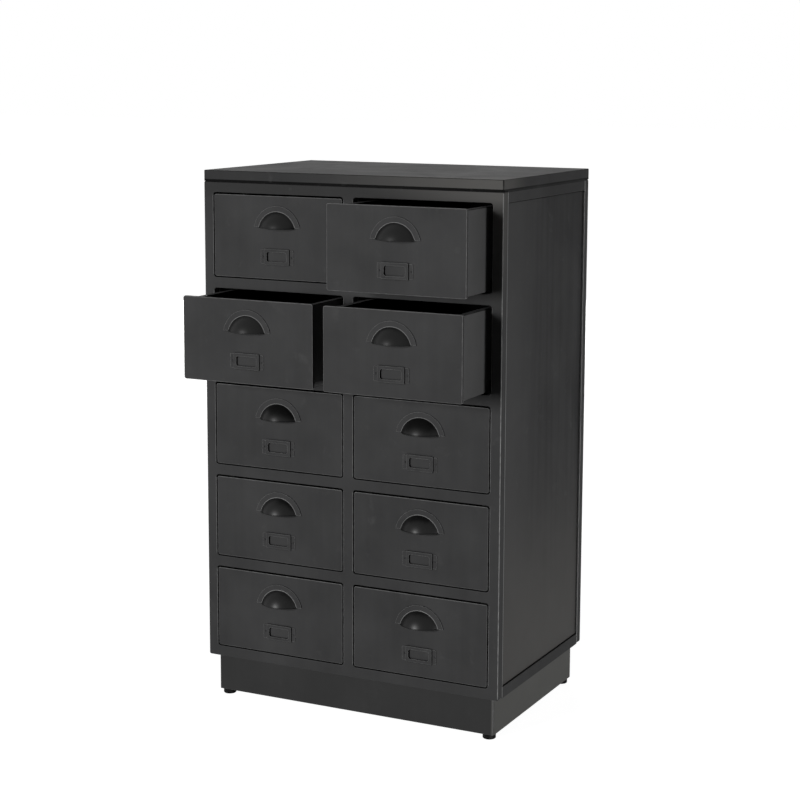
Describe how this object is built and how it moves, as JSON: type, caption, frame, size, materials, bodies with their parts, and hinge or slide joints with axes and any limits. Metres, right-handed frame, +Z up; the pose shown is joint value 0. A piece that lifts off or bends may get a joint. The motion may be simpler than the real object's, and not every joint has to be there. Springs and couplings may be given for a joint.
{
  "type": "metal drawer cabinet",
  "caption": "Free-standing metal drawer cabinet with two columns of sheet-metal drawers, cup pulls and label holders, on a set-back plinth.",
  "frame": {"origin": "middle of the cabinet's footprint, on the floor, drawers not counted", "axes": "+Z up, -Y out of the drawer fronts, +X to the right when facing the fronts"},
  "size_m": [0.6, 0.5375, 1],
  "materials": {
    "frame_paint": "satin",
    "top_paint": "satin",
    "side_paint": "satin",
    "plinth_paint": "satin",
    "front_paint": "satin",
    "box_paint": "satin",
    "runner_paint": "satin",
    "pull_enamel": "gloss",
    "holder_paint": "satin",
    "rivet_metal": "satin",
    "foot_plastic": "matte"
  },
  "bodies": {
    "cabinet": {"face_frame": "frame_paint", "rear_frame": "frame_paint", "top_panel": "top_paint", "left_side_panel": "side_paint", "right_side_panel": "side_paint", "back_panel": "side_paint", "bottom_panel": "side_paint", "plinth": "plinth_paint", "feet": "foot_plastic", "drawer_runners": "runner_paint"},
    "drawer_1_left": {"drawer_1_left_front": "front_paint", "drawer_1_left_box": "box_paint", "drawer_1_left_pull": "pull_enamel", "drawer_1_left_label_holder": "holder_paint", "drawer_1_left_rivets": "rivet_metal"},
    "drawer_1_right": {"drawer_1_right_front": "front_paint", "drawer_1_right_box": "box_paint", "drawer_1_right_pull": "pull_enamel", "drawer_1_right_label_holder": "holder_paint", "drawer_1_right_rivets": "rivet_metal"},
    "drawer_2_left": {"drawer_2_left_front": "front_paint", "drawer_2_left_box": "box_paint", "drawer_2_left_pull": "pull_enamel", "drawer_2_left_label_holder": "holder_paint", "drawer_2_left_rivets": "rivet_metal"},
    "drawer_2_right": {"drawer_2_right_front": "front_paint", "drawer_2_right_box": "box_paint", "drawer_2_right_pull": "pull_enamel", "drawer_2_right_label_holder": "holder_paint", "drawer_2_right_rivets": "rivet_metal"},
    "drawer_3_left": {"drawer_3_left_front": "front_paint", "drawer_3_left_box": "box_paint", "drawer_3_left_pull": "pull_enamel", "drawer_3_left_label_holder": "holder_paint", "drawer_3_left_rivets": "rivet_metal"},
    "drawer_3_right": {"drawer_3_right_front": "front_paint", "drawer_3_right_box": "box_paint", "drawer_3_right_pull": "pull_enamel", "drawer_3_right_label_holder": "holder_paint", "drawer_3_right_rivets": "rivet_metal"},
    "drawer_4_left": {"drawer_4_left_front": "front_paint", "drawer_4_left_box": "box_paint", "drawer_4_left_pull": "pull_enamel", "drawer_4_left_label_holder": "holder_paint", "drawer_4_left_rivets": "rivet_metal"},
    "drawer_4_right": {"drawer_4_right_front": "front_paint", "drawer_4_right_box": "box_paint", "drawer_4_right_pull": "pull_enamel", "drawer_4_right_label_holder": "holder_paint", "drawer_4_right_rivets": "rivet_metal"},
    "drawer_5_left": {"drawer_5_left_front": "front_paint", "drawer_5_left_box": "box_paint", "drawer_5_left_pull": "pull_enamel", "drawer_5_left_label_holder": "holder_paint", "drawer_5_left_rivets": "rivet_metal"},
    "drawer_5_right": {"drawer_5_right_front": "front_paint", "drawer_5_right_box": "box_paint", "drawer_5_right_pull": "pull_enamel", "drawer_5_right_label_holder": "holder_paint", "drawer_5_right_rivets": "rivet_metal"}
  },
  "joints": [
    {"name": "drawer_1_left_slide", "type": "slide", "parent": "cabinet", "child": "drawer_1_left", "axis": [0, -1, 0], "range_m": [0, 0.3]},
    {"name": "drawer_1_right_slide", "type": "slide", "parent": "cabinet", "child": "drawer_1_right", "axis": [0, -1, 0], "range_m": [-0.101, 0.199]},
    {"name": "drawer_2_left_slide", "type": "slide", "parent": "cabinet", "child": "drawer_2_left", "axis": [0, -1, 0], "range_m": [-0.108, 0.192]},
    {"name": "drawer_2_right_slide", "type": "slide", "parent": "cabinet", "child": "drawer_2_right", "axis": [0, -1, 0], "range_m": [-0.114, 0.186]},
    {"name": "drawer_3_left_slide", "type": "slide", "parent": "cabinet", "child": "drawer_3_left", "axis": [0, -1, 0], "range_m": [0, 0.3]},
    {"name": "drawer_3_right_slide", "type": "slide", "parent": "cabinet", "child": "drawer_3_right", "axis": [0, -1, 0], "range_m": [0, 0.3]},
    {"name": "drawer_4_left_slide", "type": "slide", "parent": "cabinet", "child": "drawer_4_left", "axis": [0, -1, 0], "range_m": [0, 0.3]},
    {"name": "drawer_4_right_slide", "type": "slide", "parent": "cabinet", "child": "drawer_4_right", "axis": [0, -1, 0], "range_m": [0, 0.3]},
    {"name": "drawer_5_left_slide", "type": "slide", "parent": "cabinet", "child": "drawer_5_left", "axis": [0, -1, 0], "range_m": [0, 0.3]},
    {"name": "drawer_5_right_slide", "type": "slide", "parent": "cabinet", "child": "drawer_5_right", "axis": [0, -1, 0], "range_m": [0, 0.3]}
  ]
}
